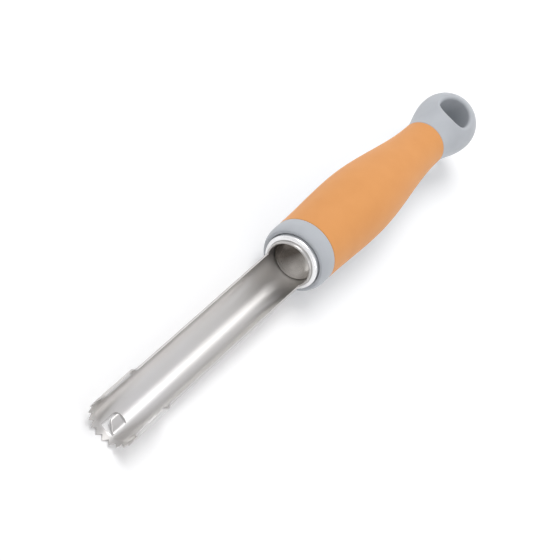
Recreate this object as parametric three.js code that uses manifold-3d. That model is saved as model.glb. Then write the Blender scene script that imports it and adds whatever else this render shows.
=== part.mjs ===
// Vegetable corer: a toothed half-round steel tube moulded into a two-component plastic handle.
// Units are millimetres and +Z is up. The tool lies along X with its teeth at -X and the open side
// of the trough up. The origin is on the surface the tool lies on, under the middle of its length.

import * as THREE from 'three';
import { mergeVertices } from 'three/addons/utils/BufferGeometryUtils.js';
import Module from 'manifold-3d';

const wasm = await Module();
wasm.setup();

// Distances called FROM_TIP are measured along the axis from the points of the teeth.

// Coring tube: full round inside the handle, cut open to a trough in front of it.
const TUBE_RADIUS = 8;
const TUBE_WALL = 0.6;
const TROUGH_LENGTH = 101.2;
const TANG_LENGTH = 36;
const TROUGH_EDGE_DROP = 2.9;
const EAR_RISE = 3.6;
const EAR_LENGTH = 16;
const EAR_RAMP_LENGTH = 8.5;

// Teeth and the ground bevel inside the cutting end.
const TEETH_PER_TURN = 20;
const TOOTH_HEIGHT = 1.75;
const TOOTH_PHASE_DEGREES = 9;
const BEVEL_LENGTH = 2.9;
const CUTTING_EDGE = 0.12;

// Window in the bottom of the trough, and the cutting tongue that is bent up out of it.
const WINDOW_FROM_TIP = 3.7;
const WINDOW_LENGTH = 8.5;
const WINDOW_WIDTH = 4.6;
const WINDOW_REAR_RADIUS = 2.2;
const TONGUE_HEIGHT = 3.9;
const TONGUE_ROOT_LENGTH = 5.7;
const TONGUE_FRONT_LEAN = 2.5;
const TONGUE_REAR_LEAN = 0.9;
const TONGUE_SETBACK = 0.6;
const TONGUE_ANGLE_DEGREES = 16;
const TONGUE_THICKNESS = 0.5;

// Holes through the tang that the handle plastic fills.
const ANCHOR_HOLE_RADIUS = 2.6;
const ANCHOR_FROM_TANG_END = 11;

// Plug that closes the tube behind the trough, with a crowned front.
const PLUG_RECESS = 4;
const PLUG_THICKNESS = 2;
const PLUG_CROWN = 1.4;

// Ferrule around the tube at the front of the handle.
const FERRULE_SETBACK = 1;
const FERRULE_WALL = 1.3;
const FERRULE_LENGTH = 4.6;
const FERRULE_LIP_RADIUS = 0.7;

// Handle outline: collar, belly, neck and a ball-shaped butt.
const COLLAR_SETBACK = 1.4;
const COLLAR_RADIUS = 11.7;
const COLLAR_LENGTH = 7.1;
const COLLAR_EDGE_LENGTH = 4;
const BELLY_RADIUS = 12.4;
const BELLY_FROM_COLLAR = 38.8;
const NECK_RADIUS = 8;
const NECK_FROM_BELLY = 52.6;
const BUTT_RADIUS = 10.8;
const BUTT_FROM_NECK = 16.9;
const GRIP_THICKNESS = 2.2;
const SPINDLE_WALL = 1.1;

// Oval hanging hole, straight down through the butt.
const HANG_HOLE_LENGTH = 10.4;
const HANG_HOLE_WIDTH = 11.8;
const HANG_HOLE_FROM_BUTT_CENTRE = 2.5;

// Clearances: steel on steel, plastic on plastic, and plastic moulded round the steel.
const STEEL_FIT = 0.1;
const GRIP_FIT = 0.1;
const MOULD_GAP = 0.3;

// Facets: around the axis, along each stretch of the handle, along a rounded corner, along a curve
// of a cut-out and round a hole. Corners closer than the weld distance are one.
const SEGMENTS = 48;
const STRETCH_STEPS = 7;
const CORNER_STEPS = 5;
const CURVE_STEPS = 8;
const HOLE_SEGMENTS = 40;
const WELD_DISTANCE = 1e-5;

// Worked-out sizes
const TUBE_BORE = TUBE_RADIUS - TUBE_WALL;
const TUBE_LENGTH = TROUGH_LENGTH + TANG_LENGTH;
const FERRULE_BORE = TUBE_RADIUS + STEEL_FIT;
const FERRULE_RADIUS = FERRULE_BORE + FERRULE_WALL;
const FERRULE_FACE = TROUGH_LENGTH + FERRULE_SETBACK;
const FERRULE_BACK = FERRULE_FACE + FERRULE_LENGTH;
const PLUG_FACE = TROUGH_LENGTH + PLUG_RECESS;
const PLUG_BACK = PLUG_FACE + PLUG_THICKNESS;
const COLLAR_FACE = FERRULE_FACE + COLLAR_SETBACK;
const GRIP_START = COLLAR_FACE + COLLAR_LENGTH;
const BELLY_AT = COLLAR_FACE + BELLY_FROM_COLLAR;
const NECK_AT = BELLY_AT + NECK_FROM_BELLY;
const BUTT_AT = NECK_AT + BUTT_FROM_NECK;
const HANG_HOLE_AT = BUTT_AT - HANG_HOLE_FROM_BUTT_CENTRE;
const TOTAL_LENGTH = BUTT_AT + BUTT_RADIUS;
const FERRULE_POCKET = FERRULE_RADIUS + MOULD_GAP;
const COLLAR_EDGE_HEIGHT = COLLAR_RADIUS - FERRULE_POCKET;
const TANG_POCKET = TUBE_RADIUS + MOULD_GAP;
const ANCHOR_AT = TUBE_LENGTH - ANCHOR_FROM_TANG_END;

// A cutter reaches this far past the material that it cuts.
const CUT_MARGIN = 2;

// Solids

function toManifold(geometry) {
  const bare = geometry.index ? geometry.toNonIndexed() : geometry.clone();
  bare.deleteAttribute('normal');
  bare.deleteAttribute('uv');
  const merged = mergeVertices(bare, WELD_DISTANCE);
  const mesh = new wasm.Mesh({
    numProp: 3,
    vertProperties: new Float32Array(merged.attributes.position.array),
    triVerts: new Uint32Array(merged.index.array),
  });
  mesh.merge();
  return new wasm.Manifold(mesh);
}

function toGeometry(solid) {
  const mesh = solid.getMesh();
  const geometry = new THREE.BufferGeometry();
  geometry.setAttribute('position', new THREE.BufferAttribute(new Float32Array(mesh.vertProperties), 3));
  geometry.setIndex(new THREE.BufferAttribute(new Uint32Array(mesh.triVerts), 1));
  geometry.computeVertexNormals();
  return geometry;
}

// Turned solid about X from [along, radius] points; the outline closes on itself or on the axis.
function turned(outline) {
  const points = outline.map(([along, radius]) => new THREE.Vector2(radius, along));
  return new THREE.LatheGeometry(points, SEGMENTS).rotateZ(-Math.PI / 2);
}

// Ring between two radii; listed so that its faces point outwards.
function ringOutline(start, end, inner, outer) {
  return [[start, inner], [start, outer], [end, outer], [end, inner], [start, inner]];
}

// Prism of an outline drawn in the XY plane, between two heights.
function standingPrism(shape, bottom, top) {
  const options = { depth: top - bottom, bevelEnabled: false, curveSegments: CURVE_STEPS };
  return new THREE.ExtrudeGeometry(shape, options).translate(0, 0, bottom);
}

// Prism of an outline drawn in the XZ plane, reaching to both sides of it along Y.
function sidePrism(shape, halfDepth) {
  return standingPrism(shape, -halfDepth, halfDepth).rotateX(Math.PI / 2);
}

// Round bar along Y, reaching equally far to both sides.
function roundBar(radius, halfLength) {
  return new THREE.CylinderGeometry(radius, radius, 2 * halfLength, HOLE_SEGMENTS);
}

// Points of a rounded corner about a centre, as [along, radius], between two angles in degrees.
// Its length along the axis and its height can differ.
function corner(along, radius, length, height, fromDegrees, toDegrees) {
  const points = [];
  for (let i = 0; i <= CORNER_STEPS; i += 1) {
    const angle = THREE.MathUtils.degToRad(THREE.MathUtils.lerp(fromDegrees, toDegrees, i / CORNER_STEPS));
    points.push([along + length * Math.cos(angle), radius + height * Math.sin(angle)]);
  }
  return points;
}

// Handle outline

// Half a cosine wave from one radius to another.
function ease(fromRadius, toRadius, share) {
  return THREE.MathUtils.lerp(fromRadius, toRadius, 0.5 - 0.5 * Math.cos(Math.PI * share));
}

// Outer radius of the handle between the back of the collar and the middle of the butt.
function handleRadius(along) {
  if (along < BELLY_AT) {
    return ease(COLLAR_RADIUS, BELLY_RADIUS, (along - GRIP_START) / (BELLY_AT - GRIP_START));
  }
  if (along < NECK_AT) {
    return ease(BELLY_RADIUS, NECK_RADIUS, (along - BELLY_AT) / (NECK_AT - BELLY_AT));
  }
  return ease(NECK_RADIUS, BUTT_RADIUS, (along - NECK_AT) / (BUTT_AT - NECK_AT));
}

// Radius of the core under the grip: a wall round the tang behind the collar, then the grip's depth.
function spindleRadius(along) {
  const inset = GRIP_THICKNESS + GRIP_FIT;
  if (along < BELLY_AT) {
    const share = (along - GRIP_START) / (BELLY_AT - GRIP_START);
    return ease(TANG_POCKET + SPINDLE_WALL, BELLY_RADIUS - inset, share);
  }
  return handleRadius(along) - inset;
}

// Inner radius of the grip.
function gripBore(along) {
  return spindleRadius(along) + GRIP_FIT;
}

// Outline of one stretch of the handle, from a radius that depends on the place.
function stretchOutline(from, to, radiusAt) {
  const points = [];
  for (let i = 0; i <= STRETCH_STEPS; i += 1) {
    const along = THREE.MathUtils.lerp(from, to, i / STRETCH_STEPS);
    points.push([along, radiusAt(along)]);
  }
  return points;
}

// Outline over the belly, from the collar's side to the neck.
function gripOutline(from, to, radiusAt) {
  return [...stretchOutline(from, BELLY_AT, radiusAt), ...stretchOutline(BELLY_AT, to, radiusAt).slice(1)];
}

// Coring tube

function tubeBlank() {
  const edgeBore = TUBE_RADIUS - CUTTING_EDGE;
  return turned([
    [0, edgeBore],
    [0, TUBE_RADIUS],
    [TUBE_LENGTH, TUBE_RADIUS],
    [TUBE_LENGTH, TUBE_BORE],
    [BEVEL_LENGTH, TUBE_BORE],
    [0, edgeBore],
  ]);
}

// Everything above the trough's edges, with the raised ears left standing at the cutting end.
function troughCutter() {
  const top = TUBE_RADIUS + CUT_MARGIN;
  const outline = new THREE.Shape();
  outline.moveTo(-CUT_MARGIN, EAR_RISE);
  outline.lineTo(EAR_LENGTH, EAR_RISE);
  outline.lineTo(EAR_LENGTH + EAR_RAMP_LENGTH, -TROUGH_EDGE_DROP);
  outline.lineTo(TROUGH_LENGTH, -TROUGH_EDGE_DROP);
  outline.lineTo(TROUGH_LENGTH, top);
  outline.lineTo(-CUT_MARGIN, top);
  outline.closePath();
  return sidePrism(outline, top);
}

// One notch between two teeth, at an angle round the axis from straight down.
function notchCutter(angle) {
  const top = TUBE_RADIUS + CUT_MARGIN;
  const halfPitch = TUBE_RADIUS * Math.sin(Math.PI / TEETH_PER_TURN);
  const outline = new THREE.Shape();
  outline.moveTo(TOOTH_HEIGHT, 0);
  outline.lineTo(0, halfPitch);
  outline.lineTo(-CUT_MARGIN, halfPitch);
  outline.lineTo(-CUT_MARGIN, -halfPitch);
  outline.lineTo(0, -halfPitch);
  outline.closePath();
  return standingPrism(outline, -top, -TUBE_BORE / 2).rotateX(angle);
}

// D-shaped window: square in front, rounded behind.
function windowCutter() {
  const rear = WINDOW_FROM_TIP + WINDOW_LENGTH;
  const half = WINDOW_WIDTH / 2;
  const bend = rear - WINDOW_REAR_RADIUS;
  const outline = new THREE.Shape();
  outline.moveTo(WINDOW_FROM_TIP, -half);
  outline.lineTo(bend, -half);
  outline.quadraticCurveTo(rear, -half, rear, 0);
  outline.quadraticCurveTo(rear, half, bend, half);
  outline.lineTo(WINDOW_FROM_TIP, half);
  outline.closePath();
  return standingPrism(outline, -TUBE_RADIUS - CUT_MARGIN, -TUBE_BORE / 2);
}

// Tongue that slants back, rooted in the wall along the window's -Y side and bent up into the trough.
function tongueBody() {
  const start = WINDOW_FROM_TIP + TONGUE_SETBACK;
  const end = start + TONGUE_ROOT_LENGTH;
  const root = -TUBE_WALL;
  const outline = new THREE.Shape();
  outline.moveTo(start, root);
  outline.lineTo(end, root);
  outline.lineTo(end, 0);
  outline.lineTo(end + TONGUE_REAR_LEAN, TONGUE_HEIGHT);
  outline.lineTo(start + TONGUE_FRONT_LEAN, TONGUE_HEIGHT);
  outline.lineTo(start, 0);
  outline.closePath();
  const middle = TUBE_RADIUS - TUBE_WALL / 2;
  const hingeY = -WINDOW_WIDTH / 2;
  const hingeZ = -Math.sqrt(middle * middle - hingeY * hingeY);
  return standingPrism(outline, -TONGUE_THICKNESS / 2, TONGUE_THICKNESS / 2)
    .rotateX(THREE.MathUtils.degToRad(TONGUE_ANGLE_DEGREES))
    .translate(0, hingeY, hingeZ);
}

function anchorHoles(radius) {
  return roundBar(radius, TUBE_RADIUS + CUT_MARGIN).translate(ANCHOR_AT, 0, 0);
}

function coringTube() {
  let tube = toManifold(tubeBlank()).subtract(toManifold(troughCutter()));
  const pitch = (2 * Math.PI) / TEETH_PER_TURN;
  const phase = THREE.MathUtils.degToRad(TOOTH_PHASE_DEGREES);
  for (let i = 0; i < TEETH_PER_TURN; i += 1) {
    tube = tube.subtract(toManifold(notchCutter((i + 0.5) * pitch + phase)));
  }
  tube = tube.subtract(toManifold(windowCutter()));
  tube = tube.add(toManifold(tongueBody()));
  return toGeometry(tube.subtract(toManifold(anchorHoles(ANCHOR_HOLE_RADIUS))));
}

// Plug and ferrule

function tubePlug() {
  const radius = TUBE_BORE - STEEL_FIT;
  const crownRadius = (radius * radius + PLUG_CROWN * PLUG_CROWN) / (2 * PLUG_CROWN);
  const crownCentre = PLUG_FACE - PLUG_CROWN + crownRadius;
  const crownDegrees = THREE.MathUtils.radToDeg(Math.asin(radius / crownRadius));
  return turned([
    ...corner(crownCentre, 0, crownRadius, crownRadius, 180, 180 - crownDegrees),
    [PLUG_BACK, radius],
    [PLUG_BACK, 0],
  ]);
}

function ferrule() {
  const lip = FERRULE_LIP_RADIUS;
  return turned([
    [FERRULE_FACE, FERRULE_BORE],
    ...corner(FERRULE_FACE + lip, FERRULE_RADIUS - lip, lip, lip, 180, 90),
    [FERRULE_BACK, FERRULE_RADIUS],
    [FERRULE_BACK, FERRULE_BORE],
    [FERRULE_FACE, FERRULE_BORE],
  ]);
}

// Handle

// Collar, spindle under the grip and butt in one moulding.
function coreBody() {
  const edgeEnd = COLLAR_FACE + COLLAR_EDGE_LENGTH;
  return turned([
    [COLLAR_FACE, 0],
    ...corner(edgeEnd, FERRULE_POCKET, COLLAR_EDGE_LENGTH, COLLAR_EDGE_HEIGHT, 180, 90),
    [GRIP_START, COLLAR_RADIUS],
    ...gripOutline(GRIP_START, NECK_AT, spindleRadius),
    ...stretchOutline(NECK_AT, BUTT_AT, handleRadius),
    ...corner(BUTT_AT, 0, BUTT_RADIUS, BUTT_RADIUS, 90, 0).slice(1),
  ]);
}

// Room for the ferrule, for the plug in the tube and for the wall of the tang.
function boreOutline(radius, back) {
  const front = COLLAR_FACE - CUT_MARGIN;
  return [[front, 0], [front, radius], [back, radius], [back, 0]];
}

function ferrulePocket() {
  return turned(boreOutline(FERRULE_POCKET, FERRULE_BACK + MOULD_GAP));
}

function plugPocket() {
  return turned(boreOutline(TUBE_BORE, PLUG_BACK + MOULD_GAP));
}

function tangPocket() {
  const back = TUBE_LENGTH + MOULD_GAP;
  return turned(ringOutline(FERRULE_FACE, back, TUBE_BORE - MOULD_GAP, TANG_POCKET));
}

function hangHole() {
  return roundBar(HANG_HOLE_LENGTH / 2, BUTT_RADIUS + CUT_MARGIN)
    .rotateX(Math.PI / 2)
    .scale(1, HANG_HOLE_WIDTH / HANG_HOLE_LENGTH, 1)
    .translate(HANG_HOLE_AT, 0, 0);
}

function handleCore() {
  const lugs = toManifold(anchorHoles(ANCHOR_HOLE_RADIUS - MOULD_GAP));
  const tangRoom = toManifold(tangPocket()).subtract(lugs);
  const core = toManifold(coreBody())
    .subtract(toManifold(ferrulePocket()))
    .subtract(toManifold(plugPocket()))
    .subtract(tangRoom)
    .subtract(toManifold(hangHole()));
  return toGeometry(core);
}

// Soft outer layer between the collar and the butt.
function gripSleeve() {
  const start = GRIP_START + GRIP_FIT;
  const end = NECK_AT - GRIP_FIT;
  const outer = gripOutline(start, end, handleRadius);
  const inner = gripOutline(start, end, gripBore);
  return turned([inner[0], ...outer, ...inner.reverse()]);
}

// Assembly

function piece(name, geometry, colour, roughness, metalness) {
  const material = new THREE.MeshStandardMaterial({ color: colour, roughness, metalness });
  const mesh = new THREE.Mesh(geometry, material);
  mesh.name = name;
  return mesh;
}

const corer = new THREE.Group();
corer.name = 'vegetable_corer';
corer.position.set(-TOTAL_LENGTH / 2, 0, BELLY_RADIUS);
corer.add(piece('coring_tube', coringTube(), 0xc9c8c6, 0.28, 1));
corer.add(piece('tube_plug', tubePlug(), 0xb4b2ae, 0.35, 1));
corer.add(piece('ferrule', ferrule(), 0xd6d6d6, 0.15, 1));
corer.add(piece('handle_core', handleCore(), 0xc2c7c9, 0.5, 0));
corer.add(piece('grip_sleeve', gripSleeve(), 0xe9a670, 0.7, 0));

export default corer;
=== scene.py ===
"""Vegetable corer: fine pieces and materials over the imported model, with a plain white studio.

Lengths in the shape code are millimetres. "along" runs from the points of the teeth to the butt,
"side" to the left seen from the teeth, and "up" from the tool's axis.
"""
import math

import bmesh
import bpy
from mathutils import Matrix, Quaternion, Vector


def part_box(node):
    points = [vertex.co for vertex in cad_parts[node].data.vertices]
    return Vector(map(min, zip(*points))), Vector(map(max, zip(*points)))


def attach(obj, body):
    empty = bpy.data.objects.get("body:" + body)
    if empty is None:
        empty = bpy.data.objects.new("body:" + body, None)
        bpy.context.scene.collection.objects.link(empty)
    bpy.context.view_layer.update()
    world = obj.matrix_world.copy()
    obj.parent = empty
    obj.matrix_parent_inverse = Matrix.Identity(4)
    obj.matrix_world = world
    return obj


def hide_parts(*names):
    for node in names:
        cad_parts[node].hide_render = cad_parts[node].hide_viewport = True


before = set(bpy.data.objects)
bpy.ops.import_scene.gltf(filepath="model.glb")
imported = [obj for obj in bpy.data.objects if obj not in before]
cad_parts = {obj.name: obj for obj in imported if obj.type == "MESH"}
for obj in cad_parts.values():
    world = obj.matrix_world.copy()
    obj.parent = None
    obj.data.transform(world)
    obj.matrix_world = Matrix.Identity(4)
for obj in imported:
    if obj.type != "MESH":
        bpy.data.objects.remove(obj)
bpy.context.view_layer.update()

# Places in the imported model
MM = 0.001
TIP_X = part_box("coring_tube")[0][0]
AXIS_Z = (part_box("ferrule")[0][2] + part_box("ferrule")[1][2]) / 2

# Coring tube
TUBE_RADIUS = 8.0
TUBE_WALL = 0.6
TUBE_INSIDE = TUBE_RADIUS - TUBE_WALL
TROUGH_LENGTH = 101.2
TANG_LENGTH = 36.0
TUBE_LENGTH = TROUGH_LENGTH + TANG_LENGTH
EDGE_DROP = 2.9
EAR_RISE = 3.6
EAR_LENGTH = 16.0
EAR_RAMP = 8.5
EAR_CORNER = 0.9

# Rounded cut edge of the tube: its radius, and the most of the wall that it takes
CUT_ROUND = 0.1
CUT_SHARE = 0.3
CORNER_REACH = 0.2

# The cut edge from the outside of the wall to its middle: inset and depth, in edge radii
CUT_PROFILE = [(1.0, 0.0), (0.6, 0.08), (0.29, 0.29), (0.08, 0.6), (0.0, 1.0)]

# Teeth and the bevel inside them
TEETH_PER_TURN = 20
TOOTH_HEIGHT = 1.75
TOOTH_PHASE = 9.0
BEVEL_LENGTH = 2.9
CUTTING_EDGE = 0.12

# Window and tongue
WINDOW_START = 3.7
WINDOW_LENGTH = 8.5
WINDOW_WIDTH = 4.6
WINDOW_REAR = 2.2
TONGUE_SETBACK = 0.6
TONGUE_START = WINDOW_START + TONGUE_SETBACK
TONGUE_ROOT = 5.7
TONGUE_HEIGHT = 3.9
TONGUE_FRONT_LEAN = 2.5
TONGUE_REAR_LEAN = 0.9
TONGUE_CORNER = 0.5
TONGUE_ANGLE = 16.0
TONGUE_THICKNESS = 0.5
TONGUE_BEND = 0.9
TONGUE_EDGE = 0.25
TONGUE_DEPTH = 0.25
TONGUE_THINNEST = 0.05

# Plug
PLUG_RECESS = 4.0
PLUG_THICKNESS = 2.0
PLUG_FACE = TROUGH_LENGTH + PLUG_RECESS
PLUG_BACK = PLUG_FACE + PLUG_THICKNESS
PLUG_RADIUS = 7.3
PLUG_CROWN = 1.4
PLUG_RIM = 0.25

# Ferrule
FERRULE_SETBACK = 1.0
FERRULE_LENGTH = 4.6
FERRULE_FACE = TROUGH_LENGTH + FERRULE_SETBACK
FERRULE_BACK = FERRULE_FACE + FERRULE_LENGTH
FERRULE_BORE = 8.03
FERRULE_RADIUS = 9.4
FERRULE_LIP = 1.15
FERRULE_ROUND = 0.15

# Collar
COLLAR_SETBACK = 1.4
COLLAR_LENGTH = 7.1
COLLAR_FACE = FERRULE_FACE + COLLAR_SETBACK
COLLAR_RADIUS = 11.6
COLLAR_EDGE = 4.0
COLLAR_EDGE_FROM = 150
COLLAR_MOUTH = 0.5
POCKET_RADIUS = 9.5
MOULD_GAP = 0.3

# Grip
GRIP_START = COLLAR_FACE + COLLAR_LENGTH
BELLY_AT = 142.4
BELLY_RADIUS = 12.4
NECK_AT = 195.0
NECK_RADIUS = 8.0
GRIP_THICKNESS = 2.2
GRIP_FIT = 0.1
GRIP_EDGE = 0.2

# Butt and its hanging hole
BUTT_FROM_NECK = 16.9
BUTT_AT = NECK_AT + BUTT_FROM_NECK
BUTT_RADIUS = 10.8
HOLE_FROM_BUTT = 2.5
HOLE_AT = BUTT_AT - HOLE_FROM_BUTT
HOLE_LENGTH = 10.0
HOLE_WIDTH = 11.6
HOLE_LIP = 1.0

# Cutter of the hole: how far it runs on past the lip, with a small turn outwards, and over the butt
FLARE_LENGTH = 1.2
FLARE_TURN = 0.08
CUTTER_MARGIN = 3.0
SLOPE_PROBE = 0.05

# Fineness of the meshes: copies round a turn, and the longest stretch of an outline
FERRULE_SEGMENTS = 144
PLUG_SEGMENTS = 128
HANDLE_SEGMENTS = 160
HOLE_SEGMENTS = 128
FERRULE_PITCH = 0.6
COLLAR_PITCH = 0.8
TONGUE_PITCH = 0.3
BEND_PITCH = 0.05
SHEET_PITCH = 6.0
SHEET_ANGLE = 3
EAR_STEPS = 6
WINDOW_STEPS = 16
TONGUE_STEPS = 8
TONGUE_ROWS = 12

# Angles above which an edge stays sharp
SHARP_ANGLE = 40
GRIP_SHARP_ANGLE = 50
TUBE_SHARP_ANGLE = 60

# Faces of the flat sheet
CUT_FACE = 0
OUTER_FACE = 1
INNER_FACE = 2

# Limits of the mesh code: a straight corner, a pointed corner, and lengths that count as none
STRAIGHT = 0.02
MITRE_LIMIT = 3
TINY = 1e-4
ON_PLANE = 1e-5
WELD = 2e-7
ON_AXIS = 1e-6

# Studio: the tool lies on its teeth and its collar
REST_AT = COLLAR_FACE + COLLAR_EDGE
REST_DEPTH = 11.7
FLOOR_SIZE = 3
FLOOR_SEGMENTS = 40
FLOOR_LIFT = 0.1
SURROUND_COLOUR = (0.98, 0.978, 1, 1)
FILL_FRONT = 0.75
FILL_BACK = 1.25

# Camera
CAMERA_AT = (-462.24, -26.35, 502.87)
CAMERA_FORWARD = (0.74114, 0.03272, -0.67055)
CAMERA_ROLL = 44.065
CAMERA_LENS = 154.29
CAMERA_SENSOR = 36
CAMERA_NEAR = 0.05
CAMERA_FAR = 20


def place(along, side, up):
    """Point of the tool in the frame, in metres."""
    return (TIP_X + along * MM, side * MM, AXIS_Z + up * MM)


def finish_piece(mesh, name, node, material):
    """Object of a mesh that stands for one CAD node."""
    piece = bpy.data.objects.new(name, mesh)
    bpy.context.scene.collection.objects.link(piece)
    mesh.materials.clear()
    mesh.materials.append(material)
    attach(piece, "root")
    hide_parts(node)
    return piece


def finish_mesh(bm, name):
    """Mesh of what was drawn, which is then let go."""
    mesh = bpy.data.meshes.new(name)
    bm.to_mesh(mesh)
    bm.free()
    return mesh


def smooth(mesh, degrees):
    """Smooth shading with edges kept sharp above an angle."""
    mesh.polygons.foreach_set("use_smooth", [True] * len(mesh.polygons))
    mesh.set_sharp_from_angle(angle=math.radians(degrees))


# Turned pieces

def arc(along, radius, size, start, end, steps, stretch=1.0):
    """Points of a rounded corner about a centre, between two angles in degrees."""
    points = []
    for i in range(steps + 1):
        angle = math.radians(start + (end - start) * i / steps)
        points.append((along + stretch * size * math.cos(angle), radius + size * math.sin(angle)))
    return points


def dense(outline, pitch):
    """The outline with extra points, so that no stretch is longer than the pitch."""
    points = [outline[0]]
    for a, b in zip(outline, outline[1:]):
        parts = max(1, math.ceil(math.dist(a, b) / pitch))
        for i in range(1, parts + 1):
            points.append((a[0] + (b[0] - a[0]) * i / parts, a[1] + (b[1] - a[1]) * i / parts))
    return points


def turned(name, outline, segments, closed):
    """Mesh turned about the axis; a closed outline is a ring, an open one ends on the axis."""
    bm = bmesh.new()
    rows = []
    for along, radius in outline:
        if radius < ON_AXIS:
            rows.append([bm.verts.new(place(along, 0, 0))] * segments)
            continue
        row = []
        for i in range(segments):
            angle = 2 * math.pi * i / segments
            row.append(bm.verts.new(place(along, radius * math.cos(angle), radius * math.sin(angle))))
        rows.append(row)
    if closed:
        rows.append(rows[0])
    for near, far in zip(rows, rows[1:]):
        for i in range(segments):
            j = (i + 1) % segments
            corners = []
            for vert in (near[i], near[j], far[j], far[i]):
                if vert not in corners:
                    corners.append(vert)
            if len(corners) > 2:
                bm.faces.new(corners)
    bmesh.ops.recalc_face_normals(bm, faces=bm.faces)
    return finish_mesh(bm, name)


def ease(start, end, share):
    """Half a cosine wave from one radius to another."""
    return start + (end - start) * (0.5 - 0.5 * math.cos(math.pi * share))


def handle_radius(along):
    """Outer radius of the handle behind the collar."""
    if along < BELLY_AT:
        return ease(COLLAR_RADIUS, BELLY_RADIUS, (along - GRIP_START) / (BELLY_AT - GRIP_START))
    if along < NECK_AT:
        return ease(BELLY_RADIUS, NECK_RADIUS, (along - BELLY_AT) / (NECK_AT - BELLY_AT))
    if along < BUTT_AT:
        return ease(NECK_RADIUS, BUTT_RADIUS, (along - NECK_AT) / (BUTT_AT - NECK_AT))
    return math.sqrt(max(0.0, BUTT_RADIUS ** 2 - (along - BUTT_AT) ** 2))


def handle_outline(start, end, inset, steps):
    """Outline of the handle between two places, pulled in by an inset."""
    marks = [start + (end - start) * i / steps for i in range(steps + 1)]
    return [(along, handle_radius(along) - inset) for along in marks]


def ferrule_mesh():
    """Ring with a rounded front."""
    lip = FERRULE_LIP
    inside = FERRULE_ROUND
    outline = arc(FERRULE_FACE + inside, FERRULE_BORE + inside, inside, 270, 180, steps=4)
    outline += arc(FERRULE_FACE + lip, FERRULE_RADIUS - lip, lip, 180, 90, steps=12)
    outline += [(FERRULE_BACK, FERRULE_RADIUS), (FERRULE_BACK, FERRULE_BORE)]
    mesh = turned("ferrule_fine", dense(outline, FERRULE_PITCH), FERRULE_SEGMENTS, closed=True)
    smooth(mesh, SHARP_ANGLE)
    return mesh


def plug_mesh():
    """Disc with a crowned front and a rounded rim."""
    rim = PLUG_RIM
    crown = (PLUG_RADIUS ** 2 + PLUG_CROWN ** 2) / (2 * PLUG_CROWN)
    centre = PLUG_FACE - PLUG_CROWN + crown
    spread = math.degrees(math.asin((PLUG_RADIUS - rim) / crown))
    outline = [(PLUG_BACK, 0), (PLUG_BACK, PLUG_RADIUS)]
    outline += arc(PLUG_FACE + rim, PLUG_RADIUS - rim, rim, 90, 180 - spread, steps=8)
    outline += arc(centre, 0, crown, 180 - spread, 180, steps=24)[:-1]
    outline.append((PLUG_FACE - PLUG_CROWN, 0))
    mesh = turned("tube_plug_fine", outline, PLUG_SEGMENTS, closed=False)
    smooth(mesh, SHARP_ANGLE)
    return mesh


def grip_mesh():
    """Sleeve over the belly of the handle, with rounded ends."""
    start = GRIP_START + GRIP_FIT
    end = NECK_AT - GRIP_FIT
    edge = GRIP_EDGE
    outer = handle_outline(start + edge, end - edge, inset=0, steps=150)
    inner = handle_outline(start, end, inset=GRIP_THICKNESS, steps=60)
    outline = arc(start + edge, handle_radius(start) - edge, edge, 180, 90, steps=4)[:-1] + outer
    outline += arc(end - edge, handle_radius(end) - edge, edge, 90, 0, steps=4)[1:] + inner[::-1]
    mesh = turned("grip_sleeve_fine", outline, HANDLE_SEGMENTS, closed=True)
    smooth(mesh, GRIP_SHARP_ANGLE)
    return mesh


def core_outline():
    """Half section of the grey moulding, from the floor of its bore round to the end of the butt."""
    inset = GRIP_THICKNESS + GRIP_FIT
    bore = TUBE_INSIDE - MOULD_GAP
    sleeve = TUBE_RADIUS + MOULD_GAP
    floor = PLUG_BACK + MOULD_GAP
    slot = TUBE_LENGTH + MOULD_GAP
    shelf = FERRULE_BACK + MOULD_GAP
    front = COLLAR_RADIUS - POCKET_RADIUS
    mouth = COLLAR_MOUTH
    edge = GRIP_EDGE
    outline = [(floor, 0), (floor, bore), (slot, bore), (slot, sleeve)]
    outline += [(shelf, sleeve), (shelf, POCKET_RADIUS)]
    outline += arc(COLLAR_FACE + 2 * mouth, POCKET_RADIUS + mouth, mouth, 270, 180, steps=6)
    outline += arc(
        COLLAR_FACE + COLLAR_EDGE, POCKET_RADIUS, front, COLLAR_EDGE_FROM, 90, steps=14,
        stretch=COLLAR_EDGE / front)
    outline += arc(GRIP_START - edge, COLLAR_RADIUS - edge, edge, 90, 0, steps=4)
    outline = dense(outline, COLLAR_PITCH)
    outline += handle_outline(GRIP_START, NECK_AT, inset, steps=60)
    outline += arc(NECK_AT + edge, NECK_RADIUS - edge, edge, 180, 90, steps=4)[:-1]
    outline += handle_outline(NECK_AT + edge, BUTT_AT, inset=0, steps=48)
    outline += arc(BUTT_AT, 0, BUTT_RADIUS, 90, 0, steps=36)[1:]
    outline[-1] = (BUTT_AT + BUTT_RADIUS, 0)
    return outline


def butt_height(reach, along, side):
    """Height of the butt's surface at a distance from the middle of the hole, in a direction."""
    radius = handle_radius(HOLE_AT + reach * along)
    return math.sqrt(max(0.0, radius ** 2 - (reach * side) ** 2))


def lip_profile(bore, along, side):
    """Upper half of the hole's wall in a direction, as distance and height: straight, then a rounded
    lip that runs into the butt's surface, then up and clear of the butt."""
    centre = bore + HOLE_LIP
    rise = butt_height(centre + SLOPE_PROBE, along, side) - butt_height(centre - SLOPE_PROBE, along, side)
    tilt = math.atan(rise / (2 * SLOPE_PROBE))
    level = butt_height(centre, along, side) - HOLE_LIP / math.cos(tilt)
    profile = [(bore, 0.0)]
    profile += arc(centre, level, HOLE_LIP, 180, 90 + math.degrees(tilt), steps=12)
    reach, up = profile[-1]
    reach += FLARE_LENGTH * math.cos(tilt + FLARE_TURN)
    up += FLARE_LENGTH * math.sin(tilt + FLARE_TURN)
    profile += [(reach, up), (reach, BUTT_RADIUS + CUTTER_MARGIN)]
    return profile


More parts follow.
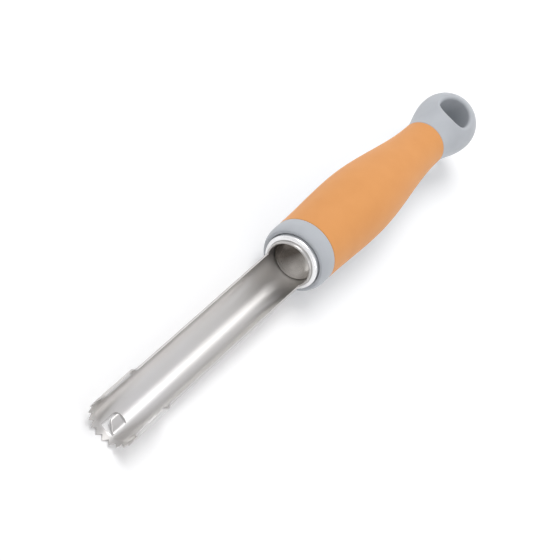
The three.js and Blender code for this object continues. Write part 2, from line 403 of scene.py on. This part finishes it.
def hole_cutter():
    """Solid of the hanging hole, flared so that it runs into the butt with a rounded lip."""
    bm = bmesh.new()
    columns = []
    for i in range(HOLE_SEGMENTS):
        angle = 2 * math.pi * i / HOLE_SEGMENTS
        along = HOLE_LENGTH / 2 * math.cos(angle)
        side = HOLE_WIDTH / 2 * math.sin(angle)
        bore = math.hypot(along, side)
        along, side = along / bore, side / bore
        profile = lip_profile(bore, along, side)
        mirrored = [(reach, -up) for reach, up in profile[:0:-1]]
        column = []
        for reach, up in mirrored + profile:
            column.append(bm.verts.new(place(HOLE_AT + reach * along, reach * side, up)))
        columns.append(column)
    for near, far in zip(columns, columns[1:] + columns[:1]):
        for k in range(len(near) - 1):
            bm.faces.new((near[k], far[k], far[k + 1], near[k + 1]))
    bm.faces.new([column[0] for column in columns])
    bm.faces.new([column[-1] for column in columns])
    bmesh.ops.recalc_face_normals(bm, faces=bm.faces)
    return bpy.data.objects.new("hole_cutter", finish_mesh(bm, "hole_cutter"))


def core_mesh():
    """Turned moulding with the hanging hole cut through its butt."""
    blank = turned("core_blank", core_outline(), HANDLE_SEGMENTS, closed=False)
    body = bpy.data.objects.new("core_blank", blank)
    cutter = hole_cutter()
    for item in (body, cutter):
        bpy.context.scene.collection.objects.link(item)
    cut = body.modifiers.new("hole", "BOOLEAN")
    cut.operation = "DIFFERENCE"
    cut.solver = "EXACT"
    cut.object = cutter
    depsgraph = bpy.context.evaluated_depsgraph_get()
    mesh = bpy.data.meshes.new_from_object(body.evaluated_get(depsgraph))
    mesh.name = "handle_core_fine"
    for item in (body, cutter):
        bpy.data.objects.remove(item)
    smooth(mesh, SHARP_ANGLE)
    return mesh


# Coring tube: its sheet is drawn flat, given a rounded cut edge, and rolled round the axis.

def edge_angle(up, radius):
    """Angle from straight down, in degrees, where the wall of a radius reaches a height."""
    return 90 + math.degrees(math.asin(up / radius))


def tooth_line(angle):
    """Place of the toothed edge at an angle."""
    share = ((angle - TOOTH_PHASE) / (360 / TEETH_PER_TURN)) % 1
    return TOOTH_HEIGHT * (1 - abs(2 * share - 1))


def cut_line():
    """Side view of one cut edge from the handle to the teeth, as along and up."""
    ramp = EAR_LENGTH + EAR_RAMP
    slope = (EAR_RISE + EDGE_DROP) / EAR_RAMP
    shares = [i / EAR_STEPS for i in range(EAR_STEPS + 1)]
    points = [(TROUGH_LENGTH, -EDGE_DROP)]
    for share in shares:
        along = ramp + EAR_CORNER - 2 * EAR_CORNER * share
        points.append((along, -EDGE_DROP + slope * EAR_CORNER * share ** 2))
    for share in shares:
        along = EAR_LENGTH + EAR_CORNER - 2 * EAR_CORNER * share
        points.append((along, EAR_RISE - slope * EAR_CORNER * (1 - share) ** 2))
    return points


def sheet_outline():
    """Outline of the flat sheet, as along, angle outside, angle inside and whether it is the seam."""
    ends = [
        (TUBE_LENGTH, -180, -180, False),
        (TUBE_LENGTH, 180, 180, True),
        (TROUGH_LENGTH, 180, 180, False),
    ]
    left = []
    for along, up in cut_line():
        left.append((along, edge_angle(up, TUBE_RADIUS), edge_angle(up, TUBE_INSIDE), False))
    top = edge_angle(EAR_RISE, TUBE_RADIUS)
    top_inside = edge_angle(EAR_RISE, TUBE_INSIDE)
    front = [(tooth_line(top), top, top_inside, False)]
    half = 180 / TEETH_PER_TURN
    step = math.floor((top - TOOTH_PHASE) / half)
    while TOOTH_PHASE + step * half > -top:
        angle = TOOTH_PHASE + step * half
        front.append((tooth_line(angle), angle, angle, False))
        step -= 1
    front.append((tooth_line(-top), -top, -top_inside, False))
    right = [(along, -outside, -inside, False) for along, outside, inside, _ in reversed(left)]
    return ends + left + front + right + [(TROUGH_LENGTH, -180, -180, True)]


def window_outline():
    """Outline of the window in the sheet, listed the other way round than the sheet's."""
    half = WINDOW_WIDTH / 2
    bend = WINDOW_START + WINDOW_LENGTH - WINDOW_REAR
    points = [(WINDOW_START, half), (bend, half)]
    for i in range(1, WINDOW_STEPS):
        angle = math.pi / 2 - math.pi * i / WINDOW_STEPS
        points.append((bend + WINDOW_REAR * math.cos(angle), half * math.sin(angle)))
    points += [(bend, -half), (WINDOW_START, -half)]
    outline = []
    for along, side in points:
        outside = math.degrees(math.asin(side / TUBE_RADIUS))
        inside = math.degrees(math.asin(side / TUBE_INSIDE))
        outline.append((along, outside, inside, False))
    return outline


def wall_at(along):
    """Thickness of the tube's wall, which the bevel thins towards the teeth."""
    share = min(1.0, max(0.0, along / BEVEL_LENGTH))
    return CUTTING_EDGE + (TUBE_WALL - CUTTING_EDGE) * share


def cut_round(along):
    """Radius of the rounded cut edge, which a thin wall limits."""
    return min(CUT_ROUND, CUT_SHARE * wall_at(along))


def flat(along, angle):
    """Point of the flat sheet."""
    return Vector((along, TUBE_RADIUS * math.radians(angle)))


def with_corners(outline):
    """The outline with a point close to each end of its long sides, which keeps the shading of the
    corners off the sides."""
    points = []
    for here, there in zip(outline, outline[1:] + outline[:1]):
        points.append(here)
        length = (flat(there[0], there[1]) - flat(here[0], here[1])).length
        if length > 4 * CORNER_REACH:
            for share in (CORNER_REACH / length, 1 - CORNER_REACH / length):
                middle = [a + (b - a) * share for a, b in zip(here[:3], there[:3])]
                points.append((*middle, here[3]))
    return points


def cut_rounds(outline):
    """Radius of the rounded cut edge on each side of an outline; the seam has none."""
    rounds = []
    for here, there in zip(outline, outline[1:] + outline[:1]):
        rounds.append(0.0 if here[3] else cut_round((here[0] + there[0]) / 2))
    return rounds


def inset_loop(points, distances):
    """The loop moved into the sheet, each side by its own distance."""
    moved = []
    count = len(points)
    for i in range(count):
        before = (points[i] - points[i - 1]).normalized()
        after = (points[(i + 1) % count] - points[i]).normalized()
        n0 = Vector((-before.y, before.x))
        n1 = Vector((-after.y, after.x))
        d0, d1 = distances[i - 1], distances[i]
        cross = n0.x * n1.y - n0.y * n1.x
        if abs(cross) < STRAIGHT:
            moved.append(points[i] + (n0 + n1).normalized() * (d0 + d1) / 2)
            continue
        offset = Vector(((d0 * n1.y - d1 * n0.y) / cross, (d1 * n0.x - d0 * n1.x) / cross))
        limit = MITRE_LIMIT * max(d0, d1)
        if offset.length > limit:
            offset = offset.normalized() * limit
        moved.append(points[i] + offset)
    return moved


def outward_normals(loop):
    """Direction out of the sheet at each point of a loop."""
    normals = []
    count = len(loop)
    for i in range(count):
        before = (loop[i] - loop[i - 1]).normalized()
        after = (loop[(i + 1) % count] - loop[i]).normalized()
        normals.append(Vector((before.y + after.y, -before.x - after.x)).normalized())
    return normals


def cut_edge(bm, outline, lean, kind):
    """Rows of the rounded cut edge along an outline; returns the outer and inner row's edges."""
    rounds = cut_rounds(outline)
    outside = [flat(along, angle) for along, angle, _, _ in outline]
    inside = [flat(along, angle) for along, _, angle, _ in outline]
    normals = outward_normals(outside)
    count = len(outline)
    rows = []
    for sign, loop, profile in ((1, outside, CUT_PROFILE), (-1, inside, CUT_PROFILE[::-1])):
        for inset, depth in profile:
            places = inset_loop(loop, [inset * size for size in rounds])
            row = []
            for i, point in enumerate(places):
                along = outline[i][0]
                share = depth * cut_round(along) / wall_at(along)
                vert = bm.verts.new((point.x, point.y, share if sign > 0 else 1 - share))
                flank = normals[i] * (1 - inset)
                vert[lean] = Vector((flank.x, flank.y, (1 - depth) * sign)).normalized()
                row.append(vert)
            rows.append(row)
    for near, far in zip(rows, rows[1:]):
        for i in range(count):
            j = (i + 1) % count
            face = bm.faces.new((near[i], near[j], far[j], far[i]))
            face[kind] = CUT_FACE
    edges = []
    for row in (rows[0], rows[-1]):
        edges.append([bm.edges.get((row[i], row[(i + 1) % count])) for i in range(count)])
    return edges


def rolled(along, across, share, lean):
    """Place and direction on the tube of a point and a direction on the flat sheet."""
    angle = across / TUBE_RADIUS
    radius = TUBE_RADIUS - share * wall_at(along)
    outwards = Vector((0, math.sin(angle), -math.cos(angle)))
    onwards = Vector((0, math.cos(angle), math.sin(angle)))
    direction = Vector((lean[0], 0, 0)) + onwards * lean[1] + outwards * lean[2]
    return place(along, radius * math.sin(angle), -radius * math.cos(angle)), direction


def divide_sheet(bm):
    """Cuts the flat sheet at the end of the bevel and into rows and columns, so that it rolls up round."""
    columns = round(180 / SHEET_ANGLE)
    cuts = [((BEVEL_LENGTH, 0, 0), (1, 0, 0))]
    for i in range(1, math.ceil(TUBE_LENGTH / SHEET_PITCH)):
        cuts.append(((i * SHEET_PITCH, 0, 0), (1, 0, 0)))
    for i in range(1 - columns, columns):
        cuts.append(((0, TUBE_RADIUS * math.radians(i * SHEET_ANGLE), 0), (0, 1, 0)))
    for point, normal in cuts:
        geom = bm.verts[:] + bm.edges[:] + bm.faces[:]
        bmesh.ops.bisect_plane(bm, geom=geom, dist=ON_PLANE, plane_co=point, plane_no=normal)


def tube_sheet():
    """The tube without its tongue, with its exact shading directions in a layer."""
    bm = bmesh.new()
    lean = bm.verts.layers.float_vector.new("lean")
    kind = bm.faces.layers.int.new("kind")
    shading = bm.loops.layers.float_vector.new("shading")
    outlines = (with_corners(sheet_outline()), with_corners(window_outline()))
    loops = [cut_edge(bm, outline, lean, kind) for outline in outlines]
    for row, mark in enumerate((OUTER_FACE, INNER_FACE)):
        filled = bmesh.ops.triangle_fill(bm, use_beauty=True, edges=loops[0][row] + loops[1][row])
        for item in filled["geom"]:
            if isinstance(item, bmesh.types.BMFace):
                item[kind] = mark
    seam = TUBE_RADIUS * math.pi - TINY
    doomed = [f for f in bm.faces if f[kind] == CUT_FACE and all(abs(v.co.y) > seam for v in f.verts)]
    bmesh.ops.delete(bm, geom=doomed, context="FACES")
    divide_sheet(bm)
    slope = (TUBE_WALL - CUTTING_EDGE) / BEVEL_LENGTH
    bevel_lean = Vector((-slope, 0, -1)).normalized()
    for face in bm.faces:
        on_bevel = all(v.co.x < BEVEL_LENGTH + TINY for v in face.verts)
        for loop in face.loops:
            x, y, share = loop.vert.co
            if face[kind] == OUTER_FACE:
                flat_lean = Vector((0, 0, 1))
            elif face[kind] == INNER_FACE:
                flat_lean = bevel_lean if on_bevel else Vector((0, 0, -1))
            else:
                flat_lean = loop.vert[lean]
            loop[shading] = rolled(x, y, share, flat_lean)[1]
    for vert in bm.verts:
        vert.co = rolled(vert.co.x, vert.co.y, vert.co.z, (0, 0, 1))[0]
    bmesh.ops.remove_doubles(bm, verts=bm.verts, dist=WELD)
    bmesh.ops.recalc_face_normals(bm, faces=bm.faces)
    return bm


def tongue_outline():
    """Height of the tongue along its root, as along and height: slanted ends and rounded corners."""
    end = TONGUE_START + TONGUE_ROOT
    corners = [
        Vector((TONGUE_START, 0)),
        Vector((TONGUE_START + TONGUE_FRONT_LEAN, TONGUE_HEIGHT)),
        Vector((end + TONGUE_REAR_LEAN, TONGUE_HEIGHT)),
        Vector((end, 0)),
    ]
    points = [tuple(corners[0])]
    for before, here, after in zip(corners, corners[1:], corners[2:]):
        start = here + (before - here).normalized() * TONGUE_CORNER
        stop = here + (after - here).normalized() * TONGUE_CORNER
        for i in range(TONGUE_STEPS + 1):
            t = i / TONGUE_STEPS
            points.append(tuple((1 - t) ** 2 * start + 2 * t * (1 - t) * here + t * t * stop))
    points.append(tuple(corners[-1]))
    return dense(points, TONGUE_PITCH)


def tongue_section(height):
    """Side and up of the tongue's middle sheet, and its tilt, at a length from its root."""
    middle = TUBE_RADIUS - TUBE_WALL / 2
    side = -WINDOW_WIDTH / 2
    up = -math.sqrt(middle ** 2 - side ** 2)
    start = math.asin(side / middle)
    end = math.radians(TONGUE_ANGLE)
    steps = max(1, math.ceil(height / BEND_PITCH))
    tilt = start
    for i in range(steps):
        share = min(1.0, (i + 0.5) / steps * height / TONGUE_BEND)
        tilt = start + (end - start) * share
        side += math.cos(tilt) * height / steps
        up += math.sin(tilt) * height / steps
    return side, up, tilt


def tongue_grid(bm, outline, sign):
    """Points of one face of the tongue, in columns from its root to its rounded edge."""
    grid = []
    for along, height in outline:
        column = []
        for k in range(TONGUE_ROWS + 1):
            length = -TONGUE_DEPTH + (height + TONGUE_DEPTH) * k / TONGUE_ROWS
            to_edge = max(0.0, (length - height + TONGUE_EDGE) / TONGUE_EDGE)
            thin = TONGUE_THICKNESS / 2 * math.sqrt(max(TONGUE_THINNEST, 1 - to_edge ** 2))
            side, up, tilt = tongue_section(max(length, 0.0))
            side += min(length, 0.0) - sign * thin * math.sin(tilt)
            up += sign * thin * math.cos(tilt)
            column.append(bm.verts.new(place(along, side, up)))
        grid.append(column)
    return grid


def add_tongue(bm):
    """Tongue bent up out of the window, with rounded edges, rooted inside the wall."""
    rows = TONGUE_ROWS
    outline = tongue_outline()
    top = tongue_grid(bm, outline, 1)
    under = tongue_grid(bm, outline, -1)
    faces = []
    for grid in (top, under):
        for near, far in zip(grid, grid[1:]):
            for k in range(rows):
                faces.append(bm.faces.new((near[k], far[k], far[k + 1], near[k + 1])))
    for i in range(len(outline) - 1):
        for k in (rows, 0):
            faces.append(bm.faces.new((top[i][k], top[i + 1][k], under[i + 1][k], under[i][k])))
    for i in (0, len(outline) - 1):
        for k in range(rows):
            faces.append(bm.faces.new((top[i][k], top[i][k + 1], under[i][k + 1], under[i][k])))
    bmesh.ops.recalc_face_normals(bm, faces=faces)


def tube_mesh():
    """Rolled sheet with its tongue, shaded by the directions kept in the sheet's layer."""
    bm = tube_sheet()
    add_tongue(bm)
    mesh = finish_mesh(bm, "coring_tube_fine")
    smooth(mesh, TUBE_SHARP_ANGLE)
    shading = [tuple(item.vector) for item in mesh.attributes["shading"].data]
    mesh.normals_split_custom_set(shading)
    for name in ("shading", "lean", "kind"):
        mesh.attributes.remove(mesh.attributes[name])
    return mesh


# Materials

class Nodes:
    """Short names for building the nodes of one material or of the surroundings."""

    def __init__(self, block, shader="Principled BSDF"):
        block.use_nodes = True
        self.block = block
        self.tree = block.node_tree
        self.shader = self.tree.nodes[shader]

    def add(self, kind, inputs=None, **settings):
        """New node with its settings, and with values or links at its inputs."""
        node = self.tree.nodes.new(kind)
        for key, value in settings.items():
            setattr(node, key, value)
        for key, value in (inputs or {}).items():
            if isinstance(value, bpy.types.NodeSocket):
                self.tree.links.new(value, node.inputs[key])
            else:
                node.inputs[key].default_value = value
        return node

    def set(self, **values):
        """Constants at the shader's inputs."""
        for key, value in values.items():
            self.shader.inputs[key.replace("_", " ")].default_value = value

    def link(self, socket, name):
        """Link to one of the shader's inputs."""
        self.tree.links.new(socket, self.shader.inputs[name])

    def place(self, scale=(1, 1, 1)):
        """Object coordinates, stretched."""
        coordinates = self.add("ShaderNodeTexCoord")
        mapping = self.add("ShaderNodeMapping", {"Vector": coordinates.outputs["Object"], "Scale": scale})
        return mapping.outputs["Vector"]

    def first(self, vector):
        """First part of a vector, which on the tool's coordinates is the place along it."""
        return self.add("ShaderNodeSeparateXYZ", {"Vector": vector}).outputs["X"]

    def maths(self, operation, a, b):
        """Result of two values."""
        return self.add("ShaderNodeMath", {0: a, 1: b}, operation=operation).outputs[0]

    def noise(self, vector, scale, detail, roughness=0.5):
        """Soft noise about one half."""
        inputs = {"Vector": vector, "Scale": scale, "Detail": detail, "Roughness": roughness}
        return self.add("ShaderNodeTexNoise", inputs).outputs["Fac"]

    def between(self, value, low, high, start=0.3, end=0.7):
        """The value carried from one range, by default most of a noise's, to another."""
        inputs = {"Value": value, "From Min": start, "From Max": end, "To Min": low, "To Max": high}
        return self.add("ShaderNodeMapRange", inputs).outputs["Result"]

    def tint(self, value, first, second, start=0.3, end=0.7):
        """Colour between two as the value goes through a range."""
        ramp = self.add("ShaderNodeValToRGB", {"Fac": value})
        for element, position, colour in zip(ramp.color_ramp.elements, (start, end), (first, second)):
            element.position = position
            element.color = (*colour, 1)
        return ramp.outputs["Color"]

    def bump(self, height, strength, distance, under=None):
        """Fine relief, on top of another where one is given."""
        inputs = {"Height": height, "Strength": strength, "Distance": distance}
        if under:
            inputs["Normal"] = under
        return self.add("ShaderNodeBump", inputs).outputs["Normal"]

    def seen(self):
        """One for rays that show a surface, straight, mirrored or through another, and else none."""
        path = self.add("ShaderNodeLightPath")
        shown = self.maths("MAXIMUM", path.outputs["Is Camera Ray"], path.outputs["Is Glossy Ray"])
        return self.maths("MAXIMUM", shown, path.outputs["Is Transmission Ray"])


def new_material(name):
    """Nodes of a new material."""
    return Nodes(bpy.data.materials.new(name))


def brushed_steel():
    """Stainless sheet, brushed round the tube, with a duller ground bevel."""
    m = new_material("brushed_stainless")
    m.set(Metallic=1.0, Anisotropic=0.8, Anisotropic_Rotation=0.25)
    streaks = m.noise(m.place((2500, 40, 40)), scale=1.0, detail=6, roughness=0.6)
    clouds = m.noise(m.place((30, 90, 90)), scale=1.0, detail=3)
    m.link(m.tint(clouds, (0.59, 0.575, 0.555), (0.61, 0.60, 0.595)), "Base Color")
    sheet = m.between(streaks, low=0.31, high=0.37)
    bevel_end = TIP_X + BEVEL_LENGTH * MM
    blend = 0.05 * MM
    ground = m.between(m.first(m.place()), 0.24, 0.0, start=bevel_end - blend, end=bevel_end + blend)
    m.link(m.maths("ADD", sheet, ground), "Roughness")
    m.link(m.bump(streaks, strength=0.03, distance=0.00001), "Normal")
    tangent = m.add("ShaderNodeTangent", direction_type="RADIAL", axis="X")
    m.link(tangent.outputs["Tangent"], "Tangent")
    return m.block


def satin_steel():
    """Turned disc with fine rings about the tool's axis, with a painted reflection: its colour runs from
    near black to pale towards one side.
    """
    m = new_material("plain_stainless")
    m.set(Metallic=1.0)
    pale_side = (0, -0.92, -0.39)
    coordinates = m.add("ShaderNodeTexCoord").outputs["Object"]
    inputs = {"Vector": coordinates, "Location": (0, 0, -AXIS_Z), "Scale": (0, 1, 1)}
    spread = m.add("ShaderNodeMapping", inputs).outputs["Vector"]
    reach = m.add("ShaderNodeVectorMath", {0: spread}, operation="LENGTH").outputs["Value"]
    inputs = {"W": reach, "Scale": 6000, "Detail": 4}
    rings = m.add("ShaderNodeTexNoise", inputs, noise_dimensions="1D").outputs["Fac"]
    clouds = m.between(m.noise(m.place((300, 300, 300)), scale=1.0, detail=3), low=-0.04, high=0.04)
    # Painted reflection: the base colour goes from near black to pale steel towards one side of the disc,
    # in place of the dark and light surroundings that it mirrors; only the small clouds are the steel's
    # own uneven tone.
    slant = m.add("ShaderNodeVectorMath", {0: spread, 1: pale_side}, operation="DOT_PRODUCT")
    radius = PLUG_RADIUS * MM
    painted_reflection = m.between(slant.outputs["Value"], 0.0, 1.0, start=-0.3 * radius, end=0.6 * radius)
    shade = m.maths("ADD", clouds, painted_reflection)
    m.link(m.tint(shade, (0.118, 0.104, 0.092), (0.75, 0.726, 0.69), start=0.0, end=1.0), "Base Color")
    m.link(m.between(rings, low=0.24, high=0.32), "Roughness")
    m.link(m.bump(rings, strength=0.1, distance=0.00003), "Normal")
    return m.block


def polished_steel():
    """Polished ring with faint hairlines."""
    m = new_material("polished_stainless")
    m.set(Metallic=1.0)
    hairs = m.noise(m.place((3000, 250, 250)), scale=1.0, detail=5)
    m.link(m.tint(hairs, (0.80, 0.80, 0.80), (0.85, 0.85, 0.85)), "Base Color")
    m.link(m.between(hairs, low=0.2, high=0.28), "Roughness")
    m.link(m.bump(hairs, strength=0.04, distance=0.00002), "Normal")
    return m.block


def grey_plastic():
    """Moulded plastic with a fine eroded grain."""
    m = new_material("grey_plastic")
    m.set(IOR=1.46, Specular_IOR_Level=0.4)
    grain = m.noise(m.place(), scale=5200, detail=3)
    clouds = m.noise(m.place(), scale=160, detail=3)
    m.link(m.tint(clouds, (0.46, 0.482, 0.51), (0.49, 0.512, 0.54)), "Base Color")
    m.link(m.between(grain, low=0.42, high=0.56), "Roughness")
    m.link(m.bump(grain, strength=0.12, distance=0.00005), "Normal")
    return m.block


def soft_grip():
    """Soft-touch layer with a dull skin and very fine pores."""
    m = new_material("orange_soft_grip")
    m.set(IOR=1.45, Specular_IOR_Level=0.3, Sheen_Weight=0.12, Sheen_Roughness=0.5)
    grain = m.noise(m.place(), scale=4200, detail=4, roughness=0.6)
    pores = m.add("ShaderNodeTexVoronoi", {"Vector": m.place(), "Scale": 3600})
    clouds = m.noise(m.place(), scale=110, detail=4)
    m.link(m.tint(clouds, (0.73, 0.316, 0.094), (0.76, 0.338, 0.106)), "Base Color")
    m.link(m.between(grain, low=0.58, high=0.74), "Roughness")
    skin = m.bump(pores.outputs["Distance"], strength=0.08, distance=0.00005)
    m.link(m.bump(grain, strength=0.15, distance=0.00005, under=skin), "Normal")
    return m.block


def white_paper():
    """Smooth white card, lifted a little where it is seen, so that only the shadow stays grey."""
    m = new_material("studio_card")
    m.set(Roughness=0.9, Specular_IOR_Level=0.0, Emission_Color=(1, 1, 1, 1))
    fibres = m.noise(m.place(), scale=900, detail=3)
    m.link(m.tint(fibres, (0.955, 0.955, 0.955), (0.965, 0.965, 0.965)), "Base Color")
    m.link(m.between(m.seen(), low=0.0, high=FLOOR_LIFT, start=0, end=1), "Emission Strength")
    return m.block


# Studio

def add_floor():
    """Ground that the tool lies on, touching its teeth and its collar."""
    bm = bmesh.new()
    bmesh.ops.create_grid(bm, x_segments=FLOOR_SEGMENTS, y_segments=FLOOR_SEGMENTS, size=FLOOR_SIZE)
    mesh = finish_mesh(bm, "floor")
    mesh.materials.append(white_paper())
    floor = bpy.data.objects.new("floor", mesh)
    slope = (REST_DEPTH - TUBE_RADIUS) / REST_AT
    floor.location = place(0, 0, -TUBE_RADIUS)
    floor.rotation_euler = (0, math.atan(slope), 0)
    bpy.context.scene.collection.objects.link(floor)


def add_softbox(name, direction, distance, size, power):
    """Square lamp aimed at the tool from a direction, in metres and watts."""
    lamp = bpy.data.lights.new(name, "AREA")
    lamp.shape = "RECTANGLE"
    lamp.size = size
    lamp.size_y = size
    lamp.energy = power
    box = bpy.data.objects.new(name, lamp)
    towards = Vector(direction).normalized()
    box.location = towards * distance
    box.rotation_mode = "QUATERNION"
    box.rotation_quaternion = (-towards).to_track_quat("-Z", "Y")
    bpy.context.scene.collection.objects.link(box)


def add_world(fill, white):
    """Surroundings: white where they are seen or mirrored, and else a fill that is weaker in front."""
    m = Nodes(bpy.data.worlds.new("studio"), "Background")
    coordinates = m.add("ShaderNodeTexCoord").outputs["Generated"]
    sloped = m.between(m.first(coordinates), FILL_FRONT * fill, FILL_BACK * fill, start=-1, end=1)
    m.set(Color=SURROUND_COLOUR)
    m.link(m.between(m.seen(), low=sloped, high=white, start=0, end=1), "Strength")
    bpy.context.scene.world = m.block


def add_camera():
    """Camera at the photograph's viewing angle."""
    camera = bpy.data.cameras.new("camera")
    camera.lens = CAMERA_LENS
    camera.sensor_width = CAMERA_SENSOR
    camera.clip_start = CAMERA_NEAR
    camera.clip_end = CAMERA_FAR
    holder = bpy.data.objects.new("camera", camera)
    holder.location = place(*CAMERA_AT)
    holder.rotation_mode = "QUATERNION"
    level = Vector(CAMERA_FORWARD).to_track_quat("-Z", "Y")
    holder.rotation_quaternion = level @ Quaternion((0, 0, 1), math.radians(CAMERA_ROLL))
    bpy.context.scene.collection.objects.link(holder)
    bpy.context.scene.camera = holder


finish_piece(tube_mesh(), "coring_tube_fine", "coring_tube", brushed_steel())
finish_piece(plug_mesh(), "tube_plug_fine", "tube_plug", satin_steel())
finish_piece(ferrule_mesh(), "ferrule_fine", "ferrule", polished_steel())
finish_piece(core_mesh(), "handle_core_fine", "handle_core", grey_plastic())
grip = finish_piece(grip_mesh(), "grip_sleeve_fine", "grip_sleeve", soft_grip())

# The photo's shadow is neutral, so the grip throws no orange light on the floor.
grip.visible_diffuse = False

add_floor()
add_softbox("key", direction=(0.22, 0.32, 0.92), distance=1.6, size=1.0, power=12.0)
add_softbox("side", direction=(-0.2, -0.85, 0.5), distance=1.6, size=0.9, power=4.0)
add_world(fill=0.6, white=1.0)
add_camera()
bpy.context.scene.view_settings.view_transform = "Standard"
